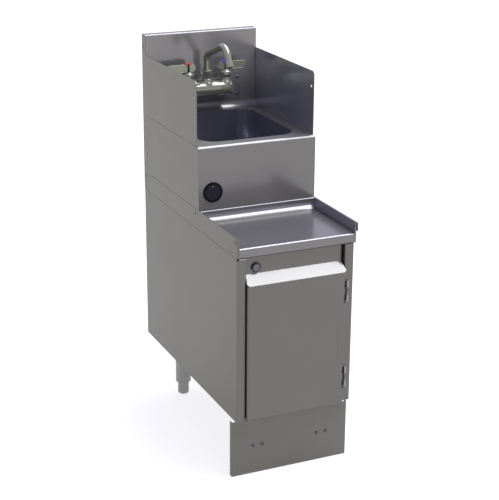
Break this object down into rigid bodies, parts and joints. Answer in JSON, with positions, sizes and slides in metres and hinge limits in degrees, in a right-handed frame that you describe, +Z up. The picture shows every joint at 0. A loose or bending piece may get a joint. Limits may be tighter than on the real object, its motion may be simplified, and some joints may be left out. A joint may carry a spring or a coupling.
{
  "type": "bar hand sink with storage cabinet",
  "caption": "Narrow stainless bar sink: raised bowl with splash guards and a wall-mount two-handle tap, a low work deck in front and a lockable cabinet on legs.",
  "frame": {"origin": "on the floor, at the middle of the whole object's width and depth", "axes": "+X to the right, +Y to the rear, +Z up; the door faces -Y"},
  "size_m": [0.3048, 0.6142, 0.968],
  "materials": {
    "sheet_steel": "number 4 brushed grain, satin",
    "bowl_steel": "drawn and satin polished",
    "plated": "bright chrome plate",
    "plate_steel": "satin",
    "bare_steel": "plain mill finish",
    "leg_steel": "polished tube",
    "hinge_steel": "satin",
    "brass": "turned",
    "black_plastic": "semi-gloss moulded",
    "slate_plastic": "satin moulded",
    "hot_red": "glossy",
    "cold_blue": "glossy"
  },
  "bodies": {
    "frame": {"left_side_panel": "sheet_steel", "right_side_panel": "sheet_steel", "rear_panel": "sheet_steel", "cabinet_floor": "sheet_steel", "frame_sill": "sheet_steel", "frame_header": "sheet_steel", "latch_keeper": "bare_steel", "work_deck": "sheet_steel", "left_skirt": "sheet_steel", "right_skirt": "sheet_steel", "sink_top": "sheet_steel", "left_riser_side": "sheet_steel", "right_riser_side": "sheet_steel", "riser_back": "sheet_steel", "left_splash_guard": "sheet_steel", "right_splash_guard": "sheet_steel", "left_end_cap": "sheet_steel", "right_end_cap": "sheet_steel", "joining_plugs": "bare_steel", "sink_bowl": "bowl_steel", "drain_flange": "plated", "drain_locknut": "bare_steel", "drain_tailpiece": "plated", "tap_plate": "plate_steel", "plate_screws": "plated", "tap_body": "plated", "supply_shanks": "brass", "shank_nuts": "brass", "hot_valve": "plated", "cold_valve": "plated", "spout_nut": "plated", "leg_gussets": "bare_steel", "leg_front_left": "leg_steel", "leg_front_right": "leg_steel", "leg_rear_left": "leg_steel", "leg_rear_right": "leg_steel", "toe_kick": "sheet_steel", "toe_clips": "bare_steel", "toe_screws": "plated", "hinge_barrels": "hinge_steel", "hinge_pins": "plated", "grommet_ring": "black_plastic"},
    "door": {"door_skin": "sheet_steel", "door_pan": "bare_steel", "hinge_leaves": "bare_steel", "lock_barrel": "black_plastic"},
    "lock": {"lock_plug": "plated", "lock_cam": "bare_steel"},
    "hot_tap": {"hot_handle": "plated", "hot_index": "hot_red"},
    "cold_tap": {"cold_handle": "plated", "cold_index": "cold_blue"},
    "swing_spout": {"spout": "plated", "aerator": "plated"},
    "cap": {"grommet_cap": "slate_plastic"},
    "strainer": {"crumb_strainer": "bare_steel"},
    "front_left_foot": {"foot_front_left": "leg_steel"},
    "front_right_foot": {"foot_front_right": "leg_steel"},
    "rear_left_foot": {"foot_rear_left": "leg_steel"},
    "rear_right_foot": {"foot_rear_right": "leg_steel"}
  },
  "joints": [
    {"name": "door_hinge", "type": "hinge", "parent": "frame", "child": "door", "pos_m": [0.1252, -0.3033, 0.4482], "axis": [0, 0, 1], "range_deg": [0, 110]},
    {"name": "lock_turn", "type": "hinge", "parent": "door", "child": "lock", "pos_m": [-0.1015, -0.2839, 0.533], "axis": [0, 1, 0], "range_deg": [0, 90]},
    {"name": "hot_valve_turn", "type": "hinge", "parent": "frame", "child": "hot_tap", "pos_m": [-0.0508, 0.2467, 0.8729], "axis": [0, 0, 1], "range_deg": [0, 90]},
    {"name": "cold_valve_turn", "type": "hinge", "parent": "frame", "child": "cold_tap", "pos_m": [0.0508, 0.2467, 0.8729], "axis": [0, 0, -1], "range_deg": [0, 90]},
    {"name": "spout_swivel", "type": "hinge", "parent": "frame", "child": "swing_spout", "pos_m": [0, 0.2467, 0.8759], "axis": [0, 0, 1], "range_deg": [-60, 60]},
    {"name": "cap_turn", "type": "hinge", "parent": "frame", "child": "cap", "pos_m": [-0.1166, -0.0699, 0.6515], "axis": [0, 1, 0], "continuous": true},
    {"name": "strainer_lift", "type": "slide", "parent": "frame", "child": "strainer", "axis": [0, 0, 1], "range_m": [0, 0.06]},
    {"name": "front_left_foot_level", "type": "slide", "parent": "frame", "child": "front_left_foot", "axis": [0, 0, -1], "range_m": [0, 0.025]},
    {"name": "front_right_foot_level", "type": "slide", "parent": "frame", "child": "front_right_foot", "axis": [0, 0, -1], "range_m": [0, 0.025]},
    {"name": "rear_left_foot_level", "type": "slide", "parent": "frame", "child": "rear_left_foot", "axis": [0, 0, -1], "range_m": [0, 0.025]},
    {"name": "rear_right_foot_level", "type": "slide", "parent": "frame", "child": "rear_right_foot", "axis": [0, 0, -1], "range_m": [0, 0.025]}
  ]
}
